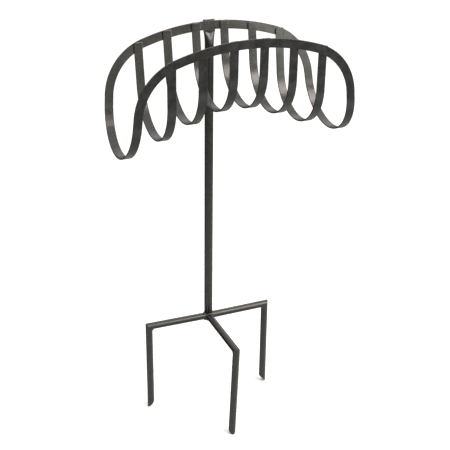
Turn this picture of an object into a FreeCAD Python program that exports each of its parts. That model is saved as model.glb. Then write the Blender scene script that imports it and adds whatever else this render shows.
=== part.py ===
import FreeCAD, Part
import math
import os
import Sketcher

# Free-standing garden hose stand, in millimetres: +Z up, +X to the right, front towards -Y.
# The origin is on the pole's axis, level with the prong tips.

doc = FreeCAD.newDocument("GardenHoseStand")

DIMENSIONS = [
    ("pole_diameter", 22.5, "round pole"),
    ("leg_diameter", 19, "round tube of the arms and prongs"),
    ("tube_wall", 1.5, "wall of every tube"),
    ("arm_height", 263.5, "axis of the arms above the prong tips"),
    ("side_arm_reach", 173, "pole axis to the axis of a side prong"),
    ("front_arm_reach", 196, "pole axis to the axis of the front prong"),
    ("left_arm_turn", 2, "degrees that the left arm is set back from the line of the right arm"),
    ("front_prong_lean", 2, "degrees that the front prong's tip leans to the left"),
    ("bar_width", 21.2, "flat bar of the basket"),
    ("bar_thickness", 3.2, "flat bar of the basket"),
    ("bar_round", 0.6, "rounded long edges of the flat bar"),
    ("basket_height", 1094, "middle of the basket, level with the crowns of its arches"),
    ("basket_tilt", 3.75, "degrees that the front of the basket is raised"),
    ("basket_depth", 241.5, "between the two arches at their crowns"),
    ("side_lean", 4.5, "degrees that each side opens upwards"),
    ("crown_radius", 564, "middle line of an arch over its crown"),
    ("shoulder_radius", 134, "middle line of an arch at its shoulders"),
    ("arch_half_width", 267, "middle line of an arch, pole plane to shoulder"),
    ("end_splay", 5.7, "degrees that the end loops spread outwards"),
    ("arch_drop", 153, "crown down to where the end loops begin"),
    ("loop_depth", 260, "crown down to the bottom of an end loop"),
    ("rib_pitch", 74.5, "between neighbouring ribs"),
    ("inner_rib_depth", 177, "crown down to the bottom of an inner rib"),
    ("middle_rib_depth", 199, "crown down to the bottom of a middle rib"),
    ("outer_rib_depth", 229, "crown down to the bottom of an outer rib"),
    ("rib_top_gap", 0.5, "arch top edge down to the outer corner of a rib's end"),
    ("flat_width", 31, "flattened top of the pole"),
    ("flat_taper", 32, "length over which the pole flattens"),
    ("pinched_bore", 0.3, "gap between the walls of the pole where the flattening ends"),
    ("flat_below", 3, "flat that shows below the back arch"),
    ("flat_above", 2.5, "flat that stands above the back arch"),
    ("hub_weld", 2.5, "bead round each arm at the pole"),
    ("corner_weld", 3, "radius of the bead inside a corner"),
    ("corner_weld_sweep", 6, "radius of that bead's curve round the inside of the corner"),
    ("rib_weld", 2, "radius of the bead over the end of a rib"),
    ("rib_weld_length", 19, "bead over the end of a rib"),
    ("pole_weld", 2, "radius of the beads between the pole and the back arch"),
    ("pole_weld_length", 24, "beads between the pole and the back arch"),
    ("slack", 40, "extra length of every cutting shape"),
]

sheet = doc.addObject("Spreadsheet::Sheet", "Sizes")
for row, (alias, value, meaning) in enumerate(DIMENSIONS, start=1):
    sheet.set(f"A{row}", alias)
    sheet.set(f"B{row}", str(value))
    sheet.set(f"C{row}", meaning)
    sheet.setAlias(f"B{row}", alias)
doc.recompute()
size = {alias: float(sheet.get(alias)) for alias, _, _ in DIMENSIONS}

POLE_RADIUS = "Sizes.pole_diameter / 2"
LEG_RADIUS = "Sizes.leg_diameter / 2"
LEAN = "(Sizes.side_lean * 1deg)"
TILT = "(Sizes.basket_tilt * 1deg)"
FLAT_THICKNESS = "(2 * Sizes.tube_wall)"
POLE_FOOT = f"(Sizes.arm_height - {LEG_RADIUS})"
MITRE_TURN = 135  # degrees from upright to square across a mitre between an arm and its prong

# The flat end of the pole lies against the back of the back arch. Its middle line, in the basket's own
# Y and Z, starts at this point and rises at the lean of the arch.
FLAT_START_Z = "(-Sizes.bar_width / 2 - Sizes.flat_below)"
FLAT_OFFSET = f"((Sizes.bar_thickness + {FLAT_THICKNESS}) / 2 / cos({LEAN}))"
FLAT_START_Y = f"(Sizes.basket_depth / 2 + {FLAT_START_Z} * tan({LEAN}) + {FLAT_OFFSET})"
FLAT_LENGTH = f"((Sizes.bar_width + Sizes.flat_below + Sizes.flat_above) / cos({LEAN}))"

# The basket is set back so that its flat starts on the pole's axis, at this height.
BASKET_Y = f"(-({FLAT_START_Y} * cos({TILT}) + {FLAT_START_Z} * sin({TILT})))"
FLAT_HEIGHT = f"(Sizes.basket_height - {FLAT_START_Y} * sin({TILT}) + {FLAT_START_Z} * cos({TILT}))"


# ---------------------------------------------------------------- helpers

def new_body(name):
    body = doc.addObject("PartDesign::Body", name)
    body.Label = name
    return body


def plane(body, role):
    return next(f for f in body.Origin.OriginFeatures if f.Role == role)


def new_sketch(body, role, name):
    sketch = body.newObject("Sketcher::SketchObject", name)
    sketch.AttachmentSupport = [(plane(body, role), "")]
    sketch.MapMode = "FlatFace"
    return sketch


def bind(sketch, kind, *args, value, rule):
    """Adds a dimension with a starting value and binds it to the sheet."""
    index = sketch.addConstraint(Sketcher.Constraint(kind, *args, value))
    sketch.setExpression(f"Constraints[{index}]", rule)


def circle(sketch, radius, rule):
    centre = FreeCAD.Vector(0, 0, 0)
    index = sketch.addGeometry(Part.Circle(centre, FreeCAD.Vector(0, 0, 1), radius))
    sketch.addConstraint(Sketcher.Constraint("Coincident", index, 3, -1, 1))
    bind(sketch, "Radius", index, value=radius, rule=rule)


def polygon(sketch, corners):
    """Straight outline through the corners; each corner is bound to ((x, rule), (y, rule))."""
    points = [FreeCAD.Vector(x[0], y[0], 0) for x, y in corners]
    count = len(points)
    for i in range(count):
        sketch.addGeometry(Part.LineSegment(points[i], points[(i + 1) % count]))
    for i in range(count):
        sketch.addConstraint(Sketcher.Constraint("Coincident", i, 2, (i + 1) % count, 1))
        (x, x_rule), (y, y_rule) = corners[i]
        bind(sketch, "DistanceX", -1, 1, i, 1, value=x, rule=x_rule)
        bind(sketch, "DistanceY", -1, 1, i, 1, value=y, rule=y_rule)


def pad(body, sketch, name, rule):
    feature = body.newObject("PartDesign::Pad", name)
    feature.Profile = sketch
    feature.setExpression("Length", rule)
    return feature


def cut_through(body, sketch, name):
    """A pocket that runs through everything, both ways from its sketch."""
    feature = body.newObject("PartDesign::Pocket", name)
    feature.Profile = sketch
    feature.Type = "ThroughAll"
    feature.Midplane = True
    before = body.Shape.Volume
    doc.recompute()
    if not feature.Shape.Volume < before - 1:
        raise RuntimeError(f"{name} removed nothing from {body.Label}")
    return feature


def pipe(body, profile, path, name):
    feature = body.newObject("PartDesign::AdditivePipe", name)
    feature.Profile = profile
    edges = [f"Edge{i + 1}" for i, _ in enumerate(path.Shape.Edges)]
    feature.Spine = (path, edges)
    return feature


def mirror(body, feature, role):
    mirrored = body.newObject("PartDesign::Mirrored", feature.Name + "Mirror")
    mirrored.Originals = [feature]
    mirrored.MirrorPlane = (plane(body, role), [""])
    body.Tip = mirrored
    return mirrored


def place(thing, x="0", y="0", z="0"):
    for axis, rule in (("x", x), ("y", y), ("z", z)):
        thing.setExpression(f"Placement.Base.{axis}", rule)


def place_by_basket(thing, x="0", y="0", z="0"):
    """Puts a thing at a point given in the basket's own coordinates, from the middle between the crowns."""
    place(thing, x,
          f"{BASKET_Y} + ({y}) * cos({TILT}) + ({z}) * sin({TILT})",
          f"Sizes.basket_height - ({y}) * sin({TILT}) + ({z}) * cos({TILT})")


def place_in_basket(thing, x="0", y="0", z="0"):
    """Puts a thing at a point of the basket and tilts it with the basket."""
    thing.Placement.Rotation = FreeCAD.Rotation(FreeCAD.Vector(1, 0, 0), -size["basket_tilt"])
    thing.setExpression("Placement.Rotation.Angle", "-Sizes.basket_tilt * 1deg")
    place_by_basket(thing, x, y, z)


def boolean(kind, name, base, tool):
    result = doc.addObject(kind, name)
    result.Base = base
    result.Tool = tool
    result.Label = name
    return result


def group(kind, name, members):
    result = doc.addObject(kind, name)
    if kind == "Part::Compound":
        result.Links = members
    else:
        result.Shapes = members
    result.Label = name
    return result


def long_edges(shape):
    """The edges that run along a bar, leaving out the short ones round its two ends."""
    limit = size["bar_width"] * 1.5
    return [i + 1 for i, edge in enumerate(shape.Edges) if edge.Length > limit]


def rounded_body(body):
    """Rounds the long edges of a bar made in a body."""
    doc.recompute()
    base = body.Tip
    feature = body.newObject("PartDesign::Fillet", base.Name + "Round")
    feature.Base = (base, [f"Edge{i}" for i in long_edges(base.Shape)])
    feature.setExpression("Radius", "Sizes.bar_round")
    body.Tip = feature


def rounded(name, base):
    """Rounds the long edges of a bar made with booleans."""
    doc.recompute()
    result = doc.addObject("Part::Fillet", name)
    result.Base = base
    result.Edges = [(i, size["bar_round"], size["bar_round"]) for i in long_edges(base.Shape)]
    result.Label = name
    return result


def rod(name, radius_rule, length_rule):
    result = doc.addObject("Part::Cylinder", name)
    result.setExpression("Radius", radius_rule)
    result.setExpression("Height", length_rule)
    return result


# ---------------------------------------------------------------- base: arms and prongs

def tube(body, role, length_rule):
    """A round tube of the base, padded from the body's origin."""
    outline = new_sketch(body, role, body.Label + "Section")
    radius = size["leg_diameter"] / 2
    circle(outline, radius, LEG_RADIUS)
    circle(outline, radius - size["tube_wall"], f"{LEG_RADIUS} - Sizes.tube_wall")
    return pad(body, outline, body.Label + "Tube", length_rule)


def wedge(body, name, x, z, side, turn=0):
    """Cuts away a right-angled wedge whose long side crosses (x, z) at 45 degrees.

    turn is how far the wedge is turned about the body's X axis, in degrees.
    """
    reach = size["slack"]
    (x_mid, x_rule), (z_mid, z_rule) = x, z
    low_x = (x_mid - reach, f"{x_rule} - Sizes.slack")
    high_x = (x_mid + reach, f"{x_rule} + Sizes.slack")
    low_z = (z_mid - reach, f"{z_rule} - Sizes.slack")
    high_z = (z_mid + reach, f"{z_rule} + Sizes.slack")
    corners = {
        "below": [(low_x, low_z), (high_x, low_z), (high_x, high_z)],
        "above": [(low_x, low_z), (high_x, high_z), (low_x, high_z)],
        "tip": [(low_x, high_z), (low_x, low_z), (high_x, low_z)],
    }
    outline = new_sketch(body, "XZ_Plane", name + "Outline")
    outline.AttachmentOffset = FreeCAD.Placement(
        FreeCAD.Vector(0, 0, 0), FreeCAD.Rotation(FreeCAD.Vector(1, 0, 0), turn))
    polygon(outline, corners[side])
    return cut_through(body, outline, name)


def facing(heading, lean):
    """Turns a limb's body to its heading, after leaning it about its arm."""
    up = FreeCAD.Vector(0, 0, 1)
    along = FreeCAD.Vector(1, 0, 0)
    return FreeCAD.Rotation(up, heading) * FreeCAD.Rotation(along, -lean)


def arm(name, reach, heading, lean, crossed):
    """A level arm that runs from the pole towards +X of its body, mitred where it meets its prong."""
    body = new_body(name)
    rule = f"Sizes.{reach}"
    tube(body, "YZ_Plane", f"{rule} + {LEG_RADIUS}")
    doc.recompute()
    wedge(body, name + "Mitre", (size[reach], rule), (0, "0"), "below", -lean)
    saddle = new_sketch(body, "XY_Plane", name + "SaddleOutline")
    circle(saddle, size["pole_diameter"] / 2, POLE_RADIUS)
    cut_through(body, saddle, name + "Saddle")
    if crossed:
        notch = new_sketch(body, "XZ_Plane", name + "NotchOutline")
        circle(notch, size["leg_diameter"] / 2, LEG_RADIUS)
        cut_through(body, notch, name + "Notch")
    body.Placement.Rotation = facing(heading, 0)
    place(body, z="Sizes.arm_height")
    return body


def place_on_limb(thing, reach, heading, lean, level):
    """Places a thing on the axis of a prong, at a level above the tips, and leans it about the arm."""
    turn = math.radians(heading)
    out = (round(math.cos(turn), 9), round(math.sin(turn), 9))
    tilt = "(Sizes.front_prong_lean * 1deg)" if lean else "(0deg)"
    below = f"(Sizes.arm_height - {level})"
    aside = f"({below} * sin({tilt}))"
    thing.Placement.Rotation = facing(heading, lean)
    place(thing, f"{out[0]} * Sizes.{reach} + {out[1]} * {aside}",
          f"{out[1]} * Sizes.{reach} - {out[0]} * {aside}",
          f"Sizes.arm_height - {below} * cos({tilt})")


def prong(name, reach, heading, lean):
    """A prong, mitred at its top and cut to a point on its outer side, which is +X of its body."""
    body = new_body(name)
    tube(body, "XY_Plane", f"Sizes.arm_height + {LEG_RADIUS}")
    doc.recompute()
    wedge(body, name + "Mitre", (0, "0"), (size["arm_height"], "Sizes.arm_height"), "above")
    wedge(body, name + "Tip", (0, "0"), (size["leg_diameter"] / 2, LEG_RADIUS), "tip")
    place_on_limb(body, reach, heading, lean, "0")
    return body


def corner_bead(name, reach, heading, lean):
    """The weld in the crease round the inside of the corner between an arm and its prong."""
    middle = f"(Sizes.corner_weld_sweep / sqrt(2) - {LEG_RADIUS})"
    fill = doc.addObject("Part::Torus", name + "Ring")
    fill.setExpression("Radius1", "Sizes.corner_weld_sweep")
    fill.setExpression("Radius2", "Sizes.corner_weld")
    fill.Placement.Rotation = FreeCAD.Rotation(FreeCAD.Vector(0, 1, 0), MITRE_TURN)
    place(fill, middle, "0", middle)
    level_tube = rod(name + "Arm", LEG_RADIUS, "2 * Sizes.slack")
    level_tube.Placement.Rotation = FreeCAD.Rotation(FreeCAD.Vector(0, 1, 0), 90)
    place(level_tube, x="-Sizes.slack")
    upright_tube = rod(name + "Prong", LEG_RADIUS, "2 * Sizes.slack")
    place(upright_tube, z="-Sizes.slack")
    clear_of_arm = boolean("Part::Cut", name + "Above", fill, level_tube)
    weld = boolean("Part::Cut", name, clear_of_arm, upright_tube)
    place_on_limb(weld, reach, heading, lean, "Sizes.arm_height")
    return weld


LIMBS = [
    ("left", "side_arm_reach", 180 - size["left_arm_turn"], 0),
    ("right", "side_arm_reach", 0, 0),
    ("front", "front_arm_reach", -90, size["front_prong_lean"]),
]
parts = []
for side, reach, heading, lean in LIMBS:
    parts.append(arm(side + "_arm", reach, heading, lean, side == "front"))
    parts.append(prong(side + "_prong", reach, heading, lean))

corner_beads = [corner_bead(side + "_corner_weld", *limb) for side, *limb in LIMBS]
parts.append(group("Part::Compound", "corner_welds", corner_beads))


def hub_welds():
    """One bead that runs round the three arms where they meet the pole."""
    ring = rod("HubRing", f"{POLE_RADIUS} + Sizes.hub_weld", "Sizes.leg_diameter + 2 * Sizes.hub_weld")
    pole_core = rod("HubPole", POLE_RADIUS, "Sizes.leg_diameter + 2 * Sizes.hub_weld")
    for thing in (ring, pole_core):
        place(thing, z=f"{POLE_FOOT} - Sizes.hub_weld")
    shell = boolean("Part::Cut", "HubShell", ring, pole_core)
    collars = []
    cores = []
    for side, _, heading, _ in LIMBS:
        turn = math.radians(heading)
        direction = FreeCAD.Vector(math.cos(turn), math.sin(turn), 0)
        for name, members, grow in (("Collar", collars, " + Sizes.hub_weld"), ("Core", cores, "")):
            shape = rod(side + name, LEG_RADIUS + grow, "Sizes.slack")
            shape.Placement.Rotation = FreeCAD.Rotation(FreeCAD.Vector(0, 0, 1), direction)
            place(shape, z="Sizes.arm_height")
            members.append(shape)
    around = [boolean("Part::Common", collar.Label + "OnShell", collar, shell) for collar in collars]
    bead_round = group("Part::MultiFuse", "HubCollars", around)
    for core in cores:
        bead_round = boolean("Part::Cut", "HubClearOf" + core.Label, bead_round, core)
    bead_round.Label = "hub_weld"
    return bead_round


parts.append(hub_welds())


# ---------------------------------------------------------------- pole

def quartered_circle(sketch, radius, rule):
    """A circle drawn as four arcs, so that its ends and sides run into those of the flat."""
    centre = FreeCAD.Vector(0, 0, 0)
    corner = radius * math.sqrt(0.5)
    corner_rule = f"({rule}) * sqrt(0.5)"
    for i in range(4):
        start = math.radians(-45 + 90 * i)
        ring = Part.Circle(centre, FreeCAD.Vector(0, 0, 1), radius)
        sketch.addGeometry(Part.ArcOfCircle(ring, start, start + math.pi / 2))
        sketch.addConstraint(Sketcher.Constraint("Coincident", i, 3, -1, 1))
        if i > 0:
            sketch.addConstraint(Sketcher.Constraint("Coincident", i, 1, i - 1, 2))
    bind(sketch, "DistanceX", -1, 1, 0, 1, value=corner, rule=corner_rule)
    bind(sketch, "DistanceY", -1, 1, 0, 1, value=-corner, rule="-" + corner_rule)
    ends = [("DistanceY", 1), ("DistanceX", -1), ("DistanceY", -1), ("DistanceX", 1)]
    for i, (kind, sign) in enumerate(ends):
        bind(sketch, kind, -1, 1, i, 2, value=sign * corner, rule=f"{sign} * {corner_rule}")


def slot(sketch, width, height, width_rule, height_rule):
    """A flat outline with round ends."""
    end = height / 2
    straight = width / 2 - end
    up = FreeCAD.Vector(0, 0, 1)
    right = Part.ArcOfCircle(Part.Circle(FreeCAD.Vector(straight, 0, 0), up, end), -math.pi / 2, math.pi / 2)
    left = Part.ArcOfCircle(Part.Circle(FreeCAD.Vector(-straight, 0, 0), up, end), math.pi / 2, 1.5 * math.pi)
    sketch.addGeometry(right)
    sketch.addGeometry(Part.LineSegment(FreeCAD.Vector(straight, end, 0), FreeCAD.Vector(-straight, end, 0)))
    sketch.addGeometry(left)
    sketch.addGeometry(Part.LineSegment(FreeCAD.Vector(-straight, -end, 0), FreeCAD.Vector(straight, -end, 0)))
    for i in range(4):
        sketch.addConstraint(Sketcher.Constraint("Tangent", i, 2, (i + 1) % 4, 1))
    sketch.addConstraint(Sketcher.Constraint("Horizontal", 1))
    sketch.addConstraint(Sketcher.Constraint("Symmetric", 0, 3, 2, 3, -1, 1))
    bind(sketch, "Radius", 0, value=end, rule=f"({height_rule}) / 2")
    bind(sketch, "DistanceX", 2, 3, 0, 3, value=2 * straight, rule=f"({width_rule}) - ({height_rule})")


def pole():
    """The upright tube; its top is pressed flat and leans with the back arch."""
    body = new_body("pole")
    radius = size["pole_diameter"] / 2
    bore = radius - size["tube_wall"]
    flat_rise = f"({FLAT_HEIGHT} - {POLE_FOOT})"
    round_length = f"({flat_rise} - Sizes.flat_taper)"

    def level(name, rule, turned):
        sketch = new_sketch(body, "XY_Plane", name)
        if turned:
            angle = -(size["side_lean"] + size["basket_tilt"])
            sketch.AttachmentOffset = FreeCAD.Placement(
                FreeCAD.Vector(0, 0, 0), FreeCAD.Rotation(FreeCAD.Vector(1, 0, 0), angle))
            sketch.setExpression("AttachmentOffset.Rotation.Angle",
                                 "-(Sizes.side_lean + Sizes.basket_tilt) * 1deg")
        sketch.setExpression("AttachmentOffset.Base.z", rule)
        return sketch

    foot = level("PoleSection", "0", False)
    circle(foot, radius, POLE_RADIUS)
    circle(foot, bore, f"{POLE_RADIUS} - Sizes.tube_wall")
    pad(body, foot, "PoleTube", round_length)

    full = (radius, POLE_RADIUS, size["flat_width"], 2 * size["tube_wall"],
            "Sizes.flat_width", FLAT_THICKNESS)
    hollow = (bore, f"{POLE_RADIUS} - Sizes.tube_wall", size["flat_width"] - 2 * size["tube_wall"],
              size["pinched_bore"], "Sizes.flat_width - 2 * Sizes.tube_wall", "Sizes.pinched_bore")
    for name, kind, shape in (("PoleTaper", "PartDesign::AdditiveLoft", full),
                              ("PoleTaperBore", "PartDesign::SubtractiveLoft", hollow)):
        start_radius, start_rule, width, height, width_rule, height_rule = shape
        start = level(name + "Start", round_length, False)
        quartered_circle(start, start_radius, start_rule)
        end = level(name + "End", flat_rise, True)
        slot(end, width, height, width_rule, height_rule)
        doc.recompute()
        loft = body.newObject(kind, name)
        loft.Profile = start
        loft.Sections = [end]
        doc.recompute()

    flat = level("PoleFlatSection", flat_rise, True)
    slot(flat, size["flat_width"], 2 * size["tube_wall"], "Sizes.flat_width", FLAT_THICKNESS)
    pad(body, flat, "PoleFlat", FLAT_LENGTH)
    place(body, z=POLE_FOOT)
    return body


upright = pole()
parts.append(upright)


# ---------------------------------------------------------------- basket

def bar_section(body, width, height, depth, rules):
    """A rectangle on the XZ plane, centred on the Z axis at the given depth below the crowns."""
    width_rule, height_rule, depth_rule = rules
    section = new_sketch(body, "XZ_Plane", body.Label + "Section")
    left = (-width / 2, f"-({width_rule}) / 2")
    right = (width / 2, f"({width_rule}) / 2")
    low = (-depth - height / 2, f"-({depth_rule}) - ({height_rule}) / 2")
    high = (-depth + height / 2, f"-({depth_rule}) + ({height_rule}) / 2")
    polygon(section, [(left, low), (right, low), (right, high), (left, high)])
    return section


def side_path(body, half_width, half_rule, depth, depth_rule, top, top_rule):
    """Half of a U on the YZ plane: a round bottom, then a straight leg that opens outwards as it rises.

    half_width is where the leg's line crosses the level of the crowns; depth and top are the bottom and
    the end of the leg, measured down and up from that level.
    """
    lean = math.radians(size["side_lean"])
    radius = (half_width - depth * math.tan(lean)) / (1 / math.cos(lean) - math.tan(lean))
    centre = FreeCAD.Vector(0, radius - depth, 0)
    joint = centre + radius * FreeCAD.Vector(math.cos(lean), -math.sin(lean), 0)
    end = FreeCAD.Vector(half_width + top * math.tan(lean), top, 0)
    path = new_sketch(body, "YZ_Plane", body.Label + "Path")
    path.addGeometry(Part.ArcOfCircle(Part.Circle(centre, FreeCAD.Vector(0, 0, 1), radius),
                                      -math.pi / 2, -lean))
    path.addGeometry(Part.LineSegment(joint, end))
    path.addGeometry(Part.Point(FreeCAD.Vector(half_width, 0, 0)), True)
    path.addConstraint(Sketcher.Constraint("PointOnObject", 0, 3, -2))
    path.addConstraint(Sketcher.Constraint("PointOnObject", 0, 1, -2))
    path.addConstraint(Sketcher.Constraint("Tangent", 1, 1, 0, 2))
    path.addConstraint(Sketcher.Constraint("PointOnObject", 2, 1, -1))
    path.addConstraint(Sketcher.Constraint("PointOnObject", 2, 1, 1))
    bind(path, "DistanceX", -1, 1, 2, 1, value=half_width, rule=half_rule)
    bind(path, "DistanceY", 0, 1, -1, 1, value=depth, rule=depth_rule)
    bind(path, "DistanceY", 0, 1, 1, 2, value=depth + top, rule=f"({depth_rule}) + ({top_rule})")
    bind(path, "Angle", 1, value=math.pi / 2 - lean, rule="(90 - Sizes.side_lean) * 1deg")
    doc.recompute()
    return path


def rim_sheet():
    """The U that the whole rim follows from front to back, as wide as the basket."""
    body = new_body("RimSheet")
    half_width = size["basket_depth"] / 2
    span = 2 * (size["arch_half_width"] + size["slack"])
    path = side_path(body, half_width, "Sizes.basket_depth / 2", size["loop_depth"], "Sizes.loop_depth",
                     size["slack"], "Sizes.slack")
    rules = ("2 * (Sizes.arch_half_width + Sizes.slack)", "Sizes.bar_thickness", "Sizes.loop_depth")
    section = bar_section(body, span, size["bar_thickness"], size["loop_depth"], rules)
    doc.recompute()
    mirror(body, pipe(body, section, path, "RimSheetBend"), "XZ_Plane")
    place_in_basket(body)
    return body


def rim_band():
    """The outline of the rim seen from the front: a flat arch with round shoulders and splayed ends."""
    body = new_body("RimBand")
    crown = size["crown_radius"]
    shoulder = size["shoulder_radius"]
    inset = size["arch_half_width"] - shoulder
    splay = math.radians(size["end_splay"])
    rise = math.sqrt((crown - shoulder) ** 2 - inset ** 2)
    turn = math.atan2(rise, inset)
    axis = FreeCAD.Vector(0, 0, 1)
    middle = FreeCAD.Vector(inset, rise - crown, 0)
    start = middle + shoulder * FreeCAD.Vector(math.cos(splay), math.sin(splay), 0)
    depth = size["loop_depth"] + size["slack"]
    length = (depth + start.y) / math.cos(splay)
    path = new_sketch(body, "XZ_Plane", "RimBandPath")
    path.addGeometry(Part.ArcOfCircle(Part.Circle(FreeCAD.Vector(0, -crown, 0), axis, crown),
                                      turn, math.pi / 2))
    path.addGeometry(Part.ArcOfCircle(Part.Circle(middle, axis, shoulder), splay, turn))
    path.addGeometry(Part.LineSegment(
        start, start + length * FreeCAD.Vector(math.sin(splay), -math.cos(splay), 0)))
    path.addConstraint(Sketcher.Constraint("Coincident", 0, 2, -1, 1))
    path.addConstraint(Sketcher.Constraint("PointOnObject", 0, 3, -2))
    path.addConstraint(Sketcher.Constraint("Tangent", 1, 2, 0, 1))
    path.addConstraint(Sketcher.Constraint("Tangent", 2, 1, 1, 1))
    bind(path, "Radius", 0, value=crown, rule="Sizes.crown_radius")
    bind(path, "Radius", 1, value=shoulder, rule="Sizes.shoulder_radius")
    bind(path, "DistanceX", -1, 1, 1, 3, value=inset, rule="Sizes.arch_half_width - Sizes.shoulder_radius")
    bind(path, "DistanceY", 2, 2, -1, 1, value=depth, rule="Sizes.loop_depth + Sizes.slack")
    bind(path, "Angle", 2, value=splay - math.pi / 2, rule="(Sizes.end_splay - 90) * 1deg")
    doc.recompute()

    section = new_sketch(body, "YZ_Plane", "RimBandSection")
    reach = size["basket_depth"] / 2 + size["slack"]
    back = (reach, "Sizes.basket_depth / 2 + Sizes.slack")
    front = (-reach, "-Sizes.basket_depth / 2 - Sizes.slack")
    low = (-size["bar_width"] / 2, "-Sizes.bar_width / 2")
    high = (size["bar_width"] / 2, "Sizes.bar_width / 2")
    polygon(section, [(front, low), (back, low), (back, high), (front, high)])
    doc.recompute()
    mirror(body, pipe(body, section, path, "RimBandBend"), "YZ_Plane")
    place_in_basket(body)
    return body


def rim_pieces():
    """The rim, parted where each arch runs into an end loop."""
    rim = boolean("Part::Common", "Rim", rim_sheet(), rim_band())
    half = "(Sizes.arch_half_width + 2 * Sizes.slack)"
    reach = "(Sizes.basket_depth / 2 + Sizes.slack)"
    zones = {
        "back_arch": (f"-{half}", f"2 * {half}", "0", reach, "-Sizes.arch_drop",
                      "Sizes.arch_drop + Sizes.slack"),
        "front_arch": (f"-{half}", f"2 * {half}", f"-{reach}", reach, "-Sizes.arch_drop",
                       "Sizes.arch_drop + Sizes.slack"),
        "left_end_loop": (f"-{half}", half, f"-{reach}", f"2 * {reach}",
                          "-Sizes.loop_depth - Sizes.slack",
                          "Sizes.loop_depth + Sizes.slack - Sizes.arch_drop"),
        "right_end_loop": ("0", half, f"-{reach}", f"2 * {reach}",
                           "-Sizes.loop_depth - Sizes.slack",
                           "Sizes.loop_depth + Sizes.slack - Sizes.arch_drop"),
    }
    pieces = {}
    for name, (x, x_size, y, y_size, z, z_size) in zones.items():
        zone = doc.addObject("Part::Box", name + "_zone")
        zone.setExpression("Length", x_size)
        zone.setExpression("Width", y_size)
        zone.setExpression("Height", z_size)
        place_in_basket(zone, x, y, z)
        pieces[name] = rounded(name, boolean("Part::Common", name + "_bar", rim, zone))
    return pieces


rim = rim_pieces()
parts.extend(rim.values())


def rib_rules(order):
    """How far a rib stands from the middle of the basket, and the level of its top ends."""
    x_rule = f"({order} - 0.5) * Sizes.rib_pitch"
    top_rule = (f"(sqrt((Sizes.crown_radius + Sizes.bar_width / 2) ^ 2 - ({x_rule} + Sizes.bar_width / 2) ^ 2)"
                " - Sizes.crown_radius - Sizes.rib_top_gap)")
    return x_rule, top_rule


def rib(name, order, depth_name, side):
    """A U of flat bar that hangs between the arches, lapped on their inner faces."""
    body = new_body(name)
    half_rule = f"(Sizes.basket_depth / 2 - Sizes.bar_thickness / cos({LEAN}))"
    half_width = size["basket_depth"] / 2 - size["bar_thickness"] / math.cos(math.radians(size["side_lean"]))
    x = (order - 0.5) * size["rib_pitch"]
    outer = size["crown_radius"] + size["bar_width"] / 2
    corner = x + size["bar_width"] / 2
    top = math.sqrt(outer ** 2 - corner ** 2) - size["crown_radius"] - size["rib_top_gap"]
    x_rule, top_rule = rib_rules(order)
    depth_rule = f"Sizes.{depth_name}"
    path = side_path(body, half_width, half_rule, size[depth_name], depth_rule, top, top_rule)
    section = bar_section(body, size["bar_width"], size["bar_thickness"], size[depth_name],
                          ("Sizes.bar_width", "Sizes.bar_thickness", depth_rule))
    doc.recompute()
    mirror(body, pipe(body, section, path, name + "Bend"), "XZ_Plane")
    rounded_body(body)
    place_in_basket(body, x=f"{side} * {x_rule}")
    return body


def bead(name, x, y, z, radius, length, neighbours):
    """A bead along X in the basket, with the bars that it joins cut out of it."""
    result = rod(name + "_rod", radius, length)
    result.Placement.Rotation = FreeCAD.Rotation(FreeCAD.Vector(0, 1, 0), 90)
    place_by_basket(result, f"{x} - {length} / 2", y, z)
    for neighbour in neighbours:
        result = boolean("Part::Cut", name + "_" + neighbour.Label, result, neighbour)
    result.Label = name
    return result


def face_y(level, offset):
    """The Y, in the basket, of a face of the back side at a level; offset is from the arch's middle."""
    return f"(Sizes.basket_depth / 2 + {level} * tan({LEAN}) + {offset} / cos({LEAN}))"


RIBS = [("inner", 1, "inner_rib_depth"), ("middle", 2, "middle_rib_depth"), ("outer", 3, "outer_rib_depth")]
ribs = {}
for hand, side in (("left", -1), ("right", 1)):
    for spot, order, depth_name in RIBS:
        ribs[hand, spot] = rib(f"{hand}_{spot}_rib", order, depth_name, side)
parts.extend(ribs.values())

for end, sign in (("back", 1), ("front", -1)):
    beads = []
    for (hand, spot), bar in ribs.items():
        side = -1 if hand == "left" else 1
        order = next(number for label, number, _ in RIBS if label == spot)
        x_rule, top_rule = rib_rules(order)
        beads.append(bead(f"{end}_{hand}_{spot}_bead", f"{side} * {x_rule}",
                          f"{sign} * {face_y(top_rule, '(-Sizes.bar_thickness / 2)')}", top_rule,
                          "Sizes.rib_weld", "Sizes.rib_weld_length", [rim[end + "_arch"], bar]))
    parts.append(group("Part::Compound", end + "_rib_welds", beads))

pole_beads = []
for spot, sign in (("upper", 1), ("lower", -1)):
    level = f"({sign} * Sizes.bar_width / 2)"
    pole_beads.append(bead(spot + "_pole_bead", "0", face_y(level, "(Sizes.bar_thickness / 2)"), level,
                           "Sizes.pole_weld", "Sizes.pole_weld_length", [rim["back_arch"], upright]))
parts.append(group("Part::Compound", "pole_top_welds", pole_beads))

doc.recompute()
for thing in doc.Objects:
    bad = [s for s in thing.State if s in ("Invalid", "Error")]
    if bad:
        raise RuntimeError(f"{thing.Name} failed: {bad}")
for piece in parts:
    if piece.Shape.isNull() or not piece.Shape.isValid() or not piece.Shape.Solids:
        raise RuntimeError(f"{piece.Label} has no valid solid")

os.makedirs("parts", exist_ok=True)
for piece in parts:
    piece.Shape.exportStep(f"parts/{piece.Label}.step")
    box = piece.Shape.BoundBox
    print(f"{piece.Label}: {len(piece.Shape.Solids)} solid, {piece.Shape.Volume:.0f} mm3, "
          f"x {box.XMin:.1f}..{box.XMax:.1f} y {box.YMin:.1f}..{box.YMax:.1f} z {box.ZMin:.1f}..{box.ZMax:.1f}")
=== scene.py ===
import math

import bmesh
import bpy
from mathutils import Matrix, Vector, noise


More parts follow.
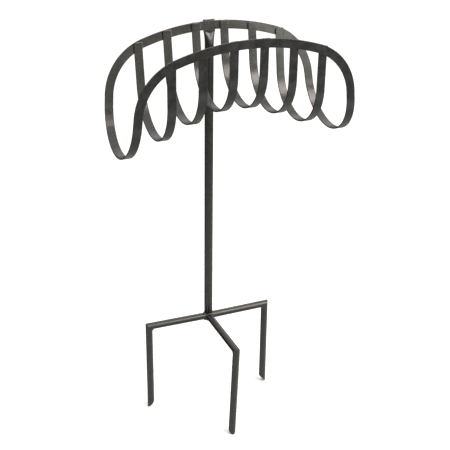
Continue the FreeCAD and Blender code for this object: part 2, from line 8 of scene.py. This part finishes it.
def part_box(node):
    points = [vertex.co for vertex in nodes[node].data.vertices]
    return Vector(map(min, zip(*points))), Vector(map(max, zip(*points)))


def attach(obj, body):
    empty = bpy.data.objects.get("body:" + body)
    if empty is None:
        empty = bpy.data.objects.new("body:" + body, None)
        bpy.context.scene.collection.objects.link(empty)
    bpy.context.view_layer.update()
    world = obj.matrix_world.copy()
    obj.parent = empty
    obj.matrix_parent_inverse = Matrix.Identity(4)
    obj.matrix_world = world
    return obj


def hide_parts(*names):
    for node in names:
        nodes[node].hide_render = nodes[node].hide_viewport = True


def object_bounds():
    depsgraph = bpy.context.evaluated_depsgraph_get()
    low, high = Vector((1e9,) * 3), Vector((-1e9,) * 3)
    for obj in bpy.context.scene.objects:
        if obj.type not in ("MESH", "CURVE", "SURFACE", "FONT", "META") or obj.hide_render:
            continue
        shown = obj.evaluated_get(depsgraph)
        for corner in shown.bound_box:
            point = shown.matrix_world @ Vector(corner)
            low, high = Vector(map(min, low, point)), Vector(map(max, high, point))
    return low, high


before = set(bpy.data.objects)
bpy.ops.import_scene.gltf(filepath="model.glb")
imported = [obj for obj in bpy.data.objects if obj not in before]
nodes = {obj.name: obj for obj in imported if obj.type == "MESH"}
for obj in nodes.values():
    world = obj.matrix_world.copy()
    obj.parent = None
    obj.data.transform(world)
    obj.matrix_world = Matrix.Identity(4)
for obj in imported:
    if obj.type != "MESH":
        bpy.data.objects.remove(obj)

cad_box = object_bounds()
scene = bpy.context.scene
MM = 0.001


# ---------------------------------------------------------------- camera

AZIMUTH = math.radians(23.36)      # the camera stands this far to the left of straight ahead
ELEVATION = math.radians(26.02)
ROLL = math.radians(0.66)
DISTANCE = 2.6532                  # camera to the plane through the aim point
LENS_MM = 79.70                    # on a sensor 36 mm wide
AIM_HEIGHT = 0.5669                # point on the pole that the framing is measured from
FRAME_RIGHT = 0.0437               # the picture's middle, right of that point
FRAME_DOWN = 0.0206                # and below it


def set_camera():
    level = Vector((math.cos(AZIMUTH), -math.sin(AZIMUTH), 0))
    forward = Vector((math.sin(AZIMUTH) * math.cos(ELEVATION), math.cos(AZIMUTH) * math.cos(ELEVATION),
                      -math.sin(ELEVATION)))
    above = level.cross(forward)
    right = level * math.cos(ROLL) + above * math.sin(ROLL)
    up = above * math.cos(ROLL) - level * math.sin(ROLL)
    aim = Vector((0, 0, AIM_HEIGHT)) + right * FRAME_RIGHT - up * FRAME_DOWN
    data = bpy.data.cameras.new("camera")
    data.lens = LENS_MM
    data.sensor_width = 36
    data.clip_end = 50
    camera = bpy.data.objects.new("camera", data)
    rotation = Matrix((right, up, -forward)).transposed()
    camera.matrix_world = Matrix.Translation(aim - forward * DISTANCE) @ rotation.to_4x4()
    scene.collection.objects.link(camera)
    scene.camera = camera


set_camera()


# ---------------------------------------------------------------- floor and light

WORLD_STRENGTH = 4.0
FLOOR_HALF = 6.0
BASKET_MIDDLE = sum((Vector(corner) for name in ("back_arch", "front_arch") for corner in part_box(name)),
                    Vector()) / 4


def node_tree(owner):
    owner.use_nodes = True
    tree = owner.node_tree
    tree.nodes.clear()
    return tree


def add(tree, kind, **settings):
    node = tree.nodes.new("ShaderNode" + kind)
    for name, value in settings.items():
        setattr(node, name, value)
    return node


def feed(tree, value, socket):
    """Links another node's output to a socket, or sets the socket to a plain value."""
    if isinstance(value, bpy.types.NodeSocket):
        tree.links.new(value, socket)
    else:
        socket.default_value = value


def parts_of(tree, vector):
    """The X, Y and Z of a vector, by name."""
    node = add(tree, "SeparateXYZ")
    tree.links.new(vector, node.inputs[0])
    return node.outputs


def calculate(tree, operation, *values):
    node = add(tree, "Math", operation=operation)
    for value, socket in zip(values, node.inputs):
        feed(tree, value, socket)
    return node.outputs[0]


def ramp(tree, stops, source):
    """The colour of a value on a ramp; each stop is (position, colour)."""
    node = add(tree, "ValToRGB")
    steps = node.color_ramp.elements
    while len(steps) < len(stops):
        steps.new(0.5)
    for step, (position, colour) in zip(steps, stops):
        step.position = position
        step.color = (*colour, 1)
    tree.links.new(source, node.inputs["Fac"])
    return node.outputs["Color"]


def spread(tree, source, low, high, to_low=0.0, to_high=1.0):
    """Maps a value from low..high to another range, held at its ends and eased between them."""
    node = add(tree, "MapRange", interpolation_type="SMOOTHSTEP")
    node.inputs["From Min"].default_value = low
    node.inputs["From Max"].default_value = high
    node.inputs["To Min"].default_value = to_low
    node.inputs["To Max"].default_value = to_high
    tree.links.new(source, node.inputs["Value"])
    return node.outputs["Result"]


def mixed(tree, factor, first, second):
    """Mixes two colours."""
    node = add(tree, "Mix", data_type="RGBA")
    feed(tree, factor, node.inputs[0])
    feed(tree, first, node.inputs[6])
    feed(tree, second, node.inputs[7])
    return node.outputs[2]


def soft_studio():
    """The surroundings that the coat reflects: lighter below, overhead, towards the camera and on the right.
    The camera itself sees plain white."""
    world = bpy.data.worlds.new("studio")
    tree = node_tree(world)
    direction = parts_of(tree, add(tree, "TexCoord").outputs["Generated"])
    height = add(tree, "MapRange")
    tree.links.new(direction["Z"], height.inputs["Value"])
    height.inputs["From Min"].default_value = -1
    height.inputs["From Max"].default_value = 1
    front = ramp(tree, [
        (0.00, (0.20, 0.20, 0.18)),
        (0.12, (0.17, 0.17, 0.16)),
        (0.22, (0.34, 0.34, 0.33)),
        (0.28, (0.25, 0.25, 0.24)),
        (0.33, (0.07, 0.07, 0.07)),
        (0.41, (0.06, 0.06, 0.06)),
        (0.52, (0.14, 0.14, 0.135)),
        (0.60, (0.24, 0.23, 0.22)),
        (0.80, (0.27, 0.25, 0.24)),
        (1.00, (0.44, 0.42, 0.40)),
    ], height.outputs["Result"])
    back = ramp(tree, [
        (0.00, (0.20, 0.20, 0.18)),
        (0.12, (0.16, 0.16, 0.15)),
        (0.25, (0.04, 0.04, 0.04)),
        (0.55, (0.05, 0.05, 0.05)),
        (0.68, (0.30, 0.29, 0.28)),
        (0.85, (0.40, 0.38, 0.37)),
        (1.00, (0.44, 0.42, 0.40)),
    ], height.outputs["Result"])
    around = mixed(tree, spread(tree, direction["Y"], 0.0, 0.6), front, back)
    gain = mixed(tree, spread(tree, direction["Z"], -0.4, -0.2), (1, 1, 1, 1),
                 spread(tree, direction["X"], -0.8, 0.8, 0.65, 1.35))
    lighting = add(tree, "Background")
    tree.links.new(around, lighting.inputs["Color"])
    tree.links.new(calculate(tree, "MULTIPLY", gain, WORLD_STRENGTH), lighting.inputs["Strength"])
    backdrop = add(tree, "Background")
    backdrop.inputs["Color"].default_value = (1, 1, 1, 1)
    seen = add(tree, "LightPath")
    mix = add(tree, "MixShader")
    tree.links.new(seen.outputs["Is Camera Ray"], mix.inputs["Fac"])
    tree.links.new(lighting.outputs[0], mix.inputs[1])
    tree.links.new(backdrop.outputs[0], mix.inputs[2])
    out = add(tree, "OutputWorld")
    tree.links.new(mix.outputs[0], out.inputs["Surface"])
    scene.world = world


def softbox(name, azimuth, elevation, distance, width, height, radiance, tint):
    """An area light that faces the basket. The azimuth is in degrees to the right of straight ahead, the
    elevation in degrees above level, and the distance and the size in metres."""
    turn, rise = math.radians(azimuth), math.radians(elevation)
    away = Vector((math.sin(turn) * math.cos(rise), -math.cos(turn) * math.cos(rise), math.sin(rise)))
    data = bpy.data.lights.new(name, "AREA")
    data.shape = "RECTANGLE"
    data.size = width
    data.size_y = height
    data.energy = radiance * math.pi * width * height
    data.color = tint
    lamp = bpy.data.objects.new(name, data)
    lamp.rotation_euler = away.to_track_quat("Z", "Y").to_euler()
    lamp.location = BASKET_MIDDLE + away * distance
    scene.collection.objects.link(lamp)
    lamp.visible_camera = False


def pale_floor():
    mesh = bpy.data.meshes.new("floor")
    signs = ((-1, -1), (1, -1), (1, 1), (-1, 1))
    mesh.from_pydata([(x * FLOOR_HALF, y * FLOOR_HALF, 0) for x, y in signs], [], [(0, 1, 2, 3)])
    floor = bpy.data.objects.new("floor", mesh)
    scene.collection.objects.link(floor)
    material = bpy.data.materials.new("floor")
    tree = node_tree(material)
    shader = add(tree, "BsdfPrincipled")
    shader.inputs["Base Color"].default_value = (0.80, 0.82, 0.84, 1)
    shader.inputs["Roughness"].default_value = 0.9
    shader.inputs["Specular IOR Level"].default_value = 0.0
    out = add(tree, "OutputMaterial")
    tree.links.new(shader.outputs[0], out.inputs["Surface"])
    mesh.materials.append(material)
    floor.visible_glossy = False
    floor.visible_diffuse = False


scene.view_settings.view_transform = "Standard"
soft_studio()
pale_floor()
softbox("key", 38, 36, 3.2, 2.5, 1.6, 9.0, (1.0, 0.92, 0.86))
softbox("fill", 44, 5, 3.2, 2.5, 1.0, 2.4, (1.0, 1.0, 0.92))
softbox("wall", 20, 0, 3.2, 4.6, 0.8, 1.9, (1.0, 1.0, 0.84))


# ---------------------------------------------------------------- materials

EDGE_BAND = 3.0 * MM               # painted shade: a bar's sharp edges are painted darker within this distance
# painted shade: near black, put along a bar's sharp edges and on the cut ends of tubes
PAINTED_SHADE = (0.003, 0.003, 0.003, 1)
EDGE_DULLING = 0.30                # added roughness along an edge
CUT_DULLING = 0.40                 # and where a tube was cut through
# painted highlight: paler colour, in patches, on the edges of the arches that face up
PAINTED_TOP_HIGHLIGHT = (0.060, 0.058, 0.054, 1)
SHOULDER = (0.20, 0.25)            # the rim turns down this far out; it is welded there and ground smooth
PEEL_HEIGHT = 0.25 * MM
BAR_COLOURS = ((0.006, 0.006, 0.0063), (0.0135, 0.0137, 0.0142))
TUBE_COLOURS = ((0.009, 0.009, 0.0085), (0.019, 0.0183, 0.0168))


def speckle(tree, scale, detail, rough=0.5):
    """Noise fixed to the object."""
    node = add(tree, "TexNoise")
    node.inputs["Scale"].default_value = scale
    node.inputs["Detail"].default_value = detail
    node.inputs["Roughness"].default_value = rough
    tree.links.new(add(tree, "TexCoord").outputs["Object"], node.inputs["Vector"])
    return node.outputs["Fac"]


def squared(tree, value):
    return calculate(tree, "MULTIPLY", value, value)


def upward(tree):
    """How far a face looks up (1) or down (-1)."""
    return parts_of(tree, add(tree, "NewGeometry").outputs["True Normal"])["Z"]


def edge_shade_mask(tree):
    """1 along the edges of a bar, 0 on its faces and over the smooth joints in the rim: where the painted
    edge shade goes.
    """
    rounded = add(tree, "Bevel", samples=6)
    rounded.inputs["Radius"].default_value = EDGE_BAND
    turn = add(tree, "VectorMath", operation="SUBTRACT")
    tree.links.new(rounded.outputs[0], turn.inputs[0])
    tree.links.new(add(tree, "NewGeometry").outputs["Normal"], turn.inputs[1])
    turned = parts_of(tree, turn.outputs[0])
    place = parts_of(tree, add(tree, "TexCoord").outputs["Object"])
    out = calculate(tree, "ABSOLUTE", place["X"])
    upright = calculate(tree, "MULTIPLY", turned["Z"], spread(tree, out, *SHOULDER, 1.0, 0.0))
    across = calculate(tree, "ADD", squared(tree, turned["X"]), squared(tree, upright))
    return spread(tree, calculate(tree, "SQRT", across), 0.10, 0.55)


def powder_coat(name, dark, light, roughness, peel, bar=False, top_edge_highlight=False, cut=False):
    """Satin powder coat: mottled colour, uneven gloss and a fine orange peel. A bar's edges are painted
    darker (painted shade). Where asked, edges that face up are painted paler in patches (painted highlight),
    and the cut end of a tube is painted nearly black (painted shade)."""
    material = bpy.data.materials.new(name)
    tree = node_tree(material)
    link = tree.links.new
    shader = add(tree, "BsdfPrincipled")
    colour = ramp(tree, [(0.35, dark), (0.65, light)], speckle(tree, 140, 5, 0.65))
    gloss = spread(tree, speckle(tree, 45, 3), 0.3, 0.7, roughness - 0.05, roughness + 0.07)
    if bar:
        edge = edge_shade_mask(tree)
        # painted shade: the bar's edges are painted darker
        edge_shade_and_highlight = PAINTED_SHADE
        if top_edge_highlight:
            # painted highlight: edges that face up are painted paler, in patches, instead of darker
            patches = spread(tree, speckle(tree, 30, 4), 0.35, 0.60, 0.3, 1.0)
            highlight_mask = calculate(tree, "MULTIPLY", spread(tree, upward(tree), 0.6, 0.9), patches)
            edge_shade_and_highlight = mixed(tree, highlight_mask, edge_shade_and_highlight, PAINTED_TOP_HIGHLIGHT)
        colour = mixed(tree, edge, colour, edge_shade_and_highlight)
        gloss = calculate(tree, "ADD", gloss, calculate(tree, "MULTIPLY", edge, EDGE_DULLING))
    if cut:
        # painted shade: the cut end face of a tube is painted nearly black
        cut_end_shade = spread(tree, calculate(tree, "ABSOLUTE", upward(tree)), 0.10, 0.30)
        colour = mixed(tree, cut_end_shade, colour, PAINTED_SHADE)
        gloss = calculate(tree, "ADD", gloss, calculate(tree, "MULTIPLY", cut_end_shade, CUT_DULLING))
    link(colour, shader.inputs["Base Color"])
    link(gloss, shader.inputs["Roughness"])
    bump = add(tree, "Bump")
    bump.inputs["Strength"].default_value = peel
    bump.inputs["Distance"].default_value = PEEL_HEIGHT
    link(speckle(tree, 420, 2), bump.inputs["Height"])
    link(bump.outputs["Normal"], shader.inputs["Normal"])
    out = add(tree, "OutputMaterial")
    link(shader.outputs[0], out.inputs["Surface"])
    return material


bar_coat = powder_coat("bar_coat", *BAR_COLOURS, 0.24, 0.5, bar=True)
arch_coat = powder_coat("arch_coat", *BAR_COLOURS, 0.24, 0.5, bar=True, top_edge_highlight=True)
tube_coat = powder_coat("tube_coat", *TUBE_COLOURS, 0.25, 0.3)
prong_coat = powder_coat("prong_coat", *TUBE_COLOURS, 0.25, 0.3, cut=True)
# the welds share the bars' coat but are painted several times lighter: a painted highlight for the glints on
# the beads
weld_coat = powder_coat("weld_coat", (0.020, 0.020, 0.017), (0.085, 0.080, 0.068), 0.30, 0.8)
COATS = {"arch": arch_coat, "loop": bar_coat, "rib": bar_coat, "prong": prong_coat, "arm": tube_coat}

for node in nodes:
    coat = COATS.get(node.split("_")[-1])
    if coat:
        for slot in nodes[node].material_slots:
            slot.material = coat


# ---------------------------------------------------------------- pole and welds

def new_piece(name, mesh, slot, material, *replaced):
    """A smooth-shaded piece on the stand's one body."""
    mesh.polygons.foreach_set("use_smooth", [True] * len(mesh.polygons))
    mesh.materials.clear()
    mesh.materials.append(material)
    piece = bpy.data.objects.new(name, mesh)
    scene.collection.objects.link(piece)
    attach(piece, "root")
    if replaced:
        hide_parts(*replaced)


ROUGHLY = 0.95                     # cosine of the angle within which a face looks one way


def facing(node, towards):
    """The average direction of a node's faces that look roughly one way."""
    total = Vector()
    for face in nodes[node].data.polygons:
        if face.normal.dot(towards) > ROUGHLY:
            total += face.normal * face.area
    return total.normalized()


def reach(points, direction):
    """The least and greatest distance of some points along a direction."""
    along = [point.dot(direction) for point in points]
    return min(along), max(along)


def corners(node, keep=lambda point: True):
    return [vertex.co for vertex in nodes[node].data.vertices if keep(vertex.co)]


def turns(count):
    """Angles once round a circle."""
    return [2 * math.pi * step / count for step in range(count)]


def skin(first, rings, sides):
    """The faces of a tube whose rings of points are numbered one after another."""
    faces = []
    for ring in range(rings - 1):
        near, far = first + ring * sides, first + (ring + 1) * sides
        for side in range(sides):
            after = (side + 1) % sides
            faces.append((near + side, near + after, far + after, far + side))
    return faces


POLE_SIDES = 96
POLE_WALL = 1.5 * MM
CRUSH_LENGTH = 34 * MM             # from the flat end down to the round tube
CRUSH_START = 2.5 * MM             # the flat ends this far below the arch at its edges
CRUSH_DIP = 6.5 * MM               # and further down at its middle
CRUSH_MARGIN = 12 * MM             # plain round tube left above the long straight run
CRUSH_STEP = 0.8 * MM              # between the rings of the pressed part
TOP_GAP = 0.6 * MM                 # the last ring is no further than this below the pole's top
STRAIGHT_RINGS = 12
FLAT_SQUARENESS = 4                # how sharply the flat turns over at its sides
TOP_BAND = 12 * MM                 # the flat is measured in this much of the pole's top
ARCH_MIDDLE = 6 * MM               # and the arch this far to either side of the pole's axis


def flattened_pole():
    """The pole: a round tube pressed flat at the top, behind the back arch; the flat ends in a point."""
    low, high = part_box("pole")
    wide = high[0]
    radius = reach(corners("pole", lambda point: point.z < (low[2] + high[2]) / 2), Vector((1, 0, 0)))[1]
    front = facing("back_arch", Vector((0, -1, 0)))
    rise = Vector((-1, 0, 0)).cross(front)
    arch = corners("back_arch", lambda point: abs(point.x) < ARCH_MIDDLE)
    edge = reach(arch, rise)[0] * rise.z + reach(arch, front)[0] * front.z
    flat = reach(corners("pole", lambda point: point.z > high[2] - TOP_BAND), front)
    thick = (flat[1] - flat[0]) / 2
    bend = (flat[1] + flat[0]) / 2 / front.z      # the flat leaves the tube's axis at this height
    straight_end = bend - CRUSH_LENGTH - CRUSH_MARGIN
    rings = [low[2] + step * (straight_end - low[2]) / STRAIGHT_RINGS for step in range(STRAIGHT_RINGS + 1)]
    while rings[-1] < high[2] - TOP_GAP:
        rings.append(rings[-1] + CRUSH_STEP)
    points = []
    for height in rings:
        below = edge - height
        for angle in turns(POLE_SIDES):
            side = thick * math.tanh(FLAT_SQUARENESS * math.sin(angle))
            pressed = Vector((wide * math.cos(angle), side, 0))
            unpressed = Vector((radius * math.cos(angle), radius * math.sin(angle), 0))
            start = CRUSH_START + CRUSH_DIP * (1 - abs(math.cos(angle)))
            share = min(max((below - start) / (CRUSH_START + CRUSH_LENGTH - start), 0), 1)
            place = pressed.lerp(unpressed, math.sin(share * math.pi / 2))
            points.append(place + Vector((0, max(height - bend, 0) * rise.y / rise.z, height)))
    faces = skin(0, len(rings), POLE_SIDES)
    faces.append(tuple(range(len(points) - POLE_SIDES, len(points))))
    bore = len(points)
    inner = radius - POLE_WALL
    for height in (low[2], straight_end):
        for angle in turns(POLE_SIDES):
            points.append(Vector((inner * math.cos(angle), inner * math.sin(angle), height)))
    for side in range(POLE_SIDES):
        after = (side + 1) % POLE_SIDES
        faces.append((bore + after, bore + side, bore + POLE_SIDES + side, bore + POLE_SIDES + after))
        faces.append((after, side, bore + side, bore + after))
    faces.append(tuple(reversed(range(bore + POLE_SIDES, bore + 2 * POLE_SIDES))))
    mesh = bpy.data.meshes.new("pressed_pole")
    mesh.from_pydata(points, [], faces)
    new_piece("pressed_pole", mesh, "tube_coat", tube_coat, "pole")


LUMP = 5 * MM                      # size of the lumps and spatter along a weld
SPATTER = 3.1                      # the small lumps are this many times finer
LARGE, SMALL = 0.7, 0.3            # how the unevenness is shared between large and small lumps
PROUD = 0.35                       # how far a weld stands out between its lumps, as a share of the swell
SAME_POINT = 0.02 * MM
MELT_ROUNDS = 3


def lumpy(name, node, voxel, swell):
    """A node's welds, melted together and uneven."""
    rough = bmesh.new()
    rough.from_mesh(nodes[node].data)
    bmesh.ops.remove_doubles(rough, verts=rough.verts, dist=SAME_POINT)
    mesh = bpy.data.meshes.new(name)
    rough.to_mesh(mesh)
    rough.free()
    blank = bpy.data.objects.new(name + "_blank", mesh)
    scene.collection.objects.link(blank)
    remesh = blank.modifiers.new("melt", "REMESH")
    remesh.mode = "VOXEL"
    remesh.voxel_size = voxel
    graph = bpy.context.evaluated_depsgraph_get()
    melted = bpy.data.meshes.new_from_object(blank.evaluated_get(graph))
    bpy.data.objects.remove(blank)
    drops = bmesh.new()
    drops.from_mesh(melted)
    for _ in range(MELT_ROUNDS):
        bmesh.ops.smooth_vert(drops, verts=drops.verts, factor=0.5,
                              use_axis_x=True, use_axis_y=True, use_axis_z=True)
    drops.normal_update()
    moved = []
    for vertex in drops.verts:
        height = LARGE * noise.noise(vertex.co / LUMP) + SMALL * noise.noise(vertex.co / LUMP * SPATTER)
        place = vertex.co + vertex.normal * swell * (PROUD + height)
        place.y = min(place.y, cad_box[1][1])
        moved.append(place)
    for vertex, place in zip(drops.verts, moved):
        vertex.co = place
    drops.to_mesh(melted)
    drops.free()
    new_piece(name, melted, "weld_bead", weld_coat, node)


BEAD_SIDES = 12
BEAD_STEP = 0.8 * MM
BEAD_TIP = 0.002                   # keeps the end rings from shrinking to a point
RIPPLE = 2.2 * MM                  # spacing of the ripples along a bead
RIPPLE_HEIGHT = 0.10               # as a share of the bead's radius
BEAD_SWELL = 0.25                  # the same, for its slower changes in size
CORNER_EASING = 6                  # rounds of smoothing of the corners in its route


def run_bead(points, faces, route, radius, seed):
    """Adds one rippled, round-ended bead along a route of straight runs with eased corners."""
    line = []
    for start, end in zip(route, route[1:]):
        steps = max(int((end - start).length / BEAD_STEP), 1)
        line += [start.lerp(end, step / steps) for step in range(steps)]
    line.append(route[-1])
    for _ in range(CORNER_EASING):
        line = [line[0]] + [(a + b * 2 + c) / 4 for a, b, c in zip(line, line[1:], line[2:])] + [line[-1]]
    base = len(points)
    travelled = [0]
    for a, b in zip(line, line[1:]):
        travelled.append(travelled[-1] + (b - a).length)
    for index, place in enumerate(line):
        ahead = line[min(index + 1, len(line) - 1)] - line[max(index - 1, 0)]
        if index == 0:
            one = ahead.orthogonal().normalized()
        else:
            one = (one - ahead * (one.dot(ahead) / ahead.length_squared)).normalized()
        other = ahead.normalized().cross(one)
        end = min(travelled[index], travelled[-1] - travelled[index]) / radius
        size = radius * math.sqrt(max(1 - (1 - min(end, 1)) ** 2, BEAD_TIP))
        size *= 1 + RIPPLE_HEIGHT * math.cos(2 * math.pi * travelled[index] / RIPPLE)
        size *= 1 + BEAD_SWELL * noise.noise(place / LUMP + Vector((seed, 0, 0)))
        for angle in turns(BEAD_SIDES):
            points.append(place + (one * math.cos(angle) + other * math.sin(angle)) * size)
    faces += skin(base, len(line), BEAD_SIDES)
    faces.append(tuple(reversed(range(base, base + BEAD_SIDES))))
    faces.append(tuple(range(len(points) - BEAD_SIDES, len(points))))


BEAD_RADIUS = 2.6 * MM
BEAD_INSET = 1.5 * MM              # from the rib's left edge to where its bead starts
BEAD_DROP = 0.6 * MM               # the bead's middle is this far below the rib's end
BEAD_OUT = 0.4 * MM                # this far off the arch's face
BEAD_PAST = 0.2 * MM               # and ends this far beyond the rib's right edge
SIDE_BEAD = 15 * MM                # how far a bead runs down the side of a rib
LEG_BAND = 60 * MM                 # the rib's leg is measured in this much of its top
SEED_STEP = 7.3                    # keeps the beads from being alike


def rib_beads(end, towards):
    """Each rib's weld to an arch: over the rib's end and down its right-hand side."""
    arch = end + "_arch"
    out = facing(arch, towards)
    rise = Vector((1, 0, 0)).cross(out)
    if rise.z < 0:
        rise.negate()
    face = reach(corners(arch), out)[1]
    points, faces = [], []
    for seed, node in enumerate(name for name in nodes if name.endswith("rib")):
        low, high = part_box(node)
        middle, lowest = (low + high) / 2, high[2] - LEG_BAND
        leg = corners(node, lambda point: (point - middle).dot(out) < 0 and point.z > lowest)
        top = reach(leg, rise)[1]
        spots = ((low[0] + BEAD_INSET, top - BEAD_DROP), (high[0], top - BEAD_DROP),
                 (high[0] + BEAD_PAST, top - SIDE_BEAD))
        route = [Vector((x, 0, 0)) + rise * level + out * (face + BEAD_OUT) for x, level in spots]
        run_bead(points, faces, route, BEAD_RADIUS, seed * SEED_STEP)
    mesh = bpy.data.meshes.new(end + "_rib_beads")
    mesh.from_pydata(points, [], faces)
    new_piece(end + "_rib_beads", mesh, "weld_bead", weld_coat, end + "_rib_welds")


flattened_pole()
lumpy("hub_bead", "hub_weld", 0.7 * MM, 1.2 * MM)
lumpy("corner_fillets", "corner_welds", 0.5 * MM, 0.8 * MM)
lumpy("pole_top_beads", "pole_top_welds", 0.5 * MM, 0.7 * MM)
rib_beads("back", Vector((0, -1, 0)))
rib_beads("front", Vector((0, 1, 0)))
